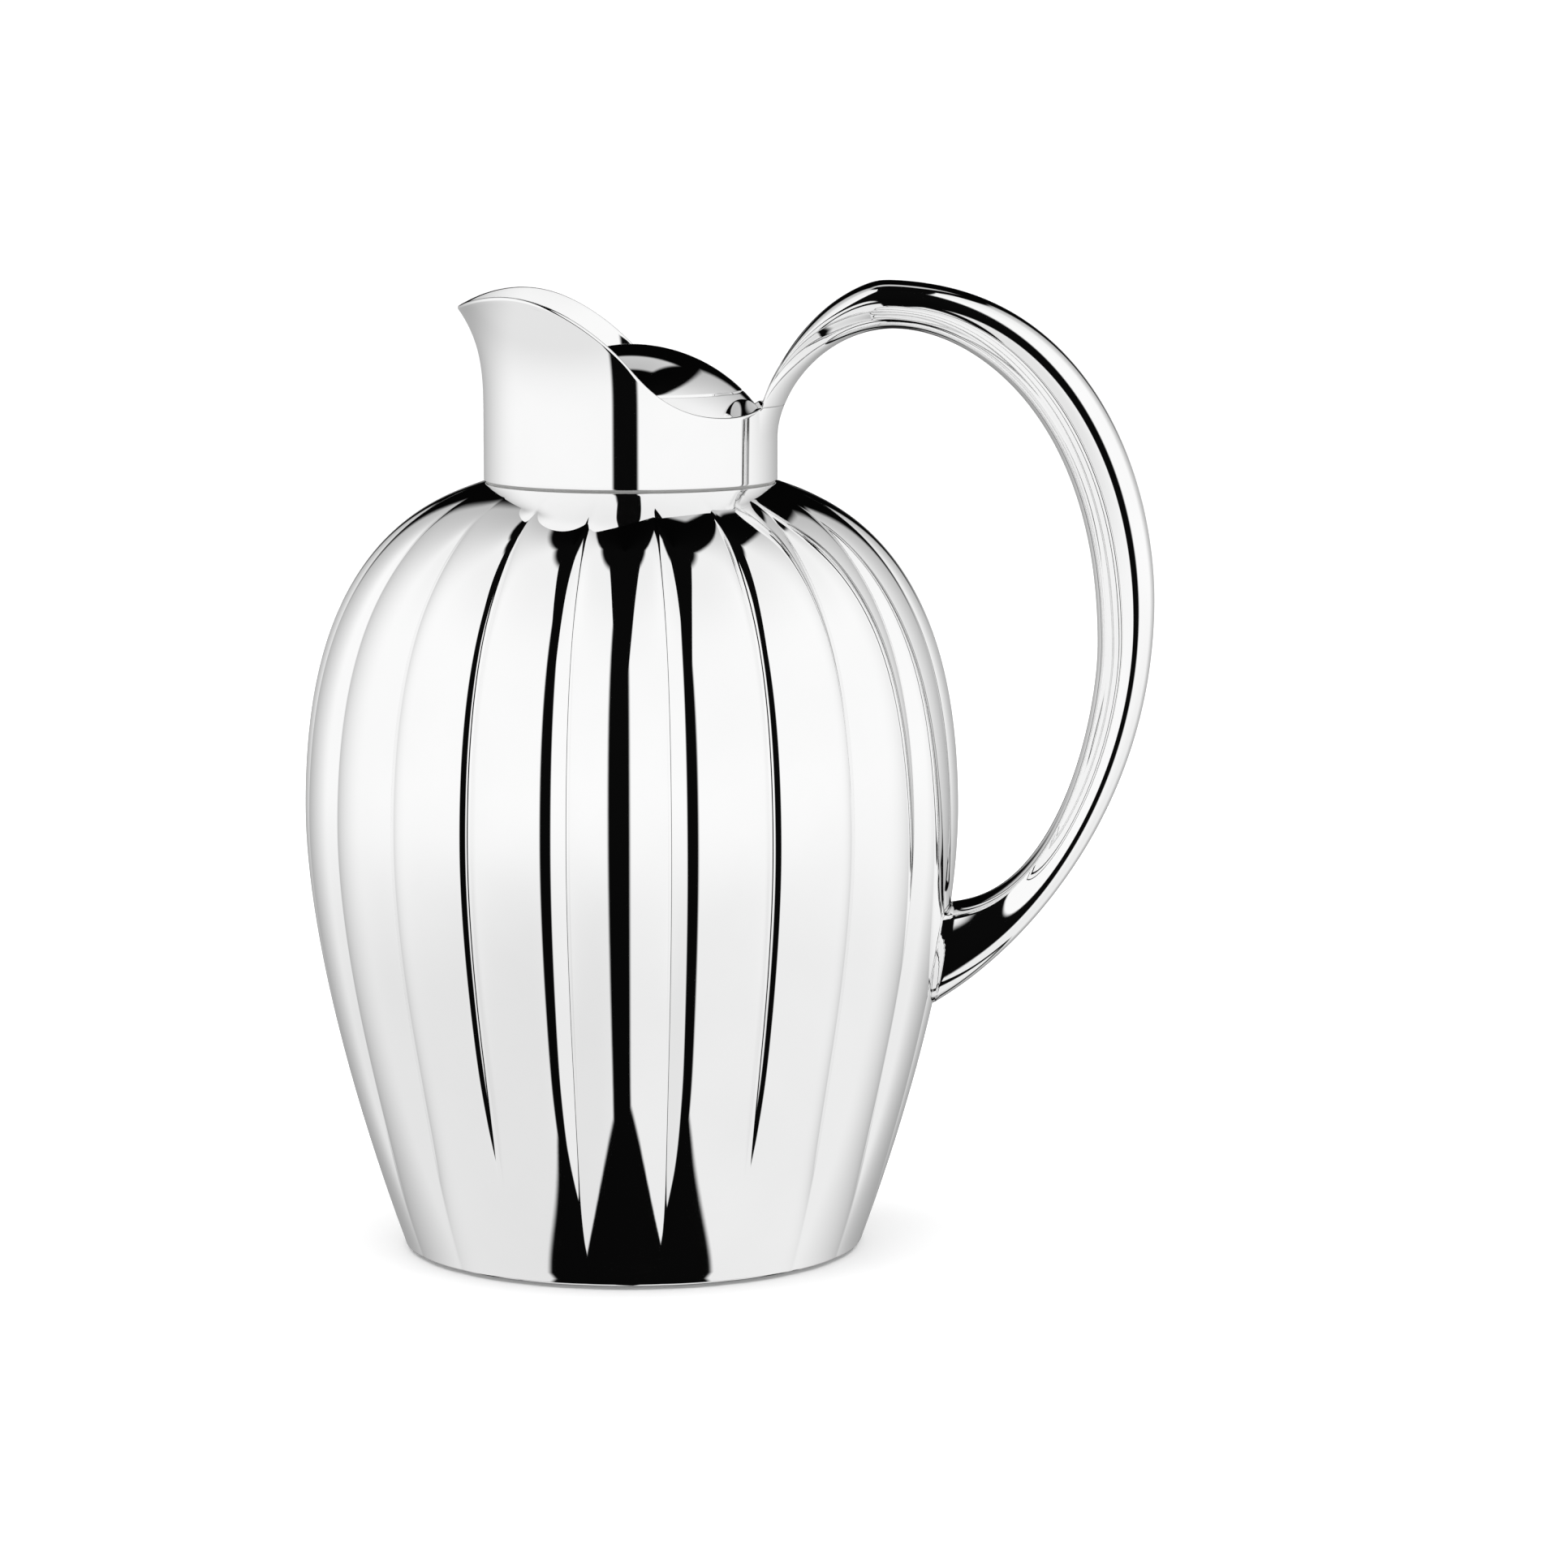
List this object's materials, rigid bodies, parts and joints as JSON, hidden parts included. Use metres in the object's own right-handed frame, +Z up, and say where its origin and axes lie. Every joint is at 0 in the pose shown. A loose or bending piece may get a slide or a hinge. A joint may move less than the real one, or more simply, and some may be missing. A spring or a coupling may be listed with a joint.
{
  "type": "insulated serving jug",
  "caption": "Lidded insulated serving jug in mirror-polished steel: fluted body, collar with a flared spout, looped handle, and a lift-out stopper with a domed push button.",
  "frame": {"origin": "centre of the foot, on the plane of the table", "axes": "+Z up along the jug's axis, +X towards the handle, -X towards the spout, +Y across"},
  "size_m": [0.201, 0.155, 0.2293],
  "materials": {
    "polished_steel": "mirror-polished stainless steel",
    "flask_steel": "satin drawn stainless steel",
    "brushed_steel": "turned and stamped stainless steel",
    "getter_metal": "plain pressed cap",
    "dark_plastic": "fine-grained moulded polypropylene",
    "silicone": "smooth food-grade silicone",
    "rubber": "matt non-slip rubber"
  },
  "bodies": {
    "jug": {"body_shell": "polished_steel", "collar_spout": "polished_steel", "handle": "polished_steel", "flask_inner": "flask_steel", "flask_outer": "flask_steel", "flask_base": "flask_steel", "neck_sleeve": "brushed_steel", "clamp_washer": "brushed_steel", "handle_screws": "brushed_steel", "handle_washers": "brushed_steel", "base_plate": "brushed_steel", "getter_cap": "getter_metal", "collar_nut": "dark_plastic", "base_ring": "dark_plastic", "pour_ring": "dark_plastic", "mouth_seal": "silicone", "neck_gasket": "silicone", "neck_spacer": "rubber", "flask_cushion": "rubber", "foot_ring": "rubber"},
    "stopper": {"stopper_body": "dark_plastic", "stopper_lip_seal": "silicone", "stopper_ring": "polished_steel", "return_spring": "brushed_steel"},
    "button": {"button_dome": "polished_steel", "button_core": "dark_plastic", "stem": "brushed_steel", "valve_disc": "dark_plastic", "valve_seal": "silicone", "stem_nut": "brushed_steel"}
  },
  "joints": [
    {"name": "stopper_lift", "type": "slide", "parent": "jug", "child": "stopper", "axis": [0, 0, 1], "range_m": [0, 0.075]},
    {"name": "button_press", "type": "slide", "parent": "stopper", "child": "button", "axis": [0, 0, -1], "range_m": [0, 0.004], "stiffness_N_per_m": 1500, "springref_m": -0.003, "deforming": ["return_spring"]}
  ]
}
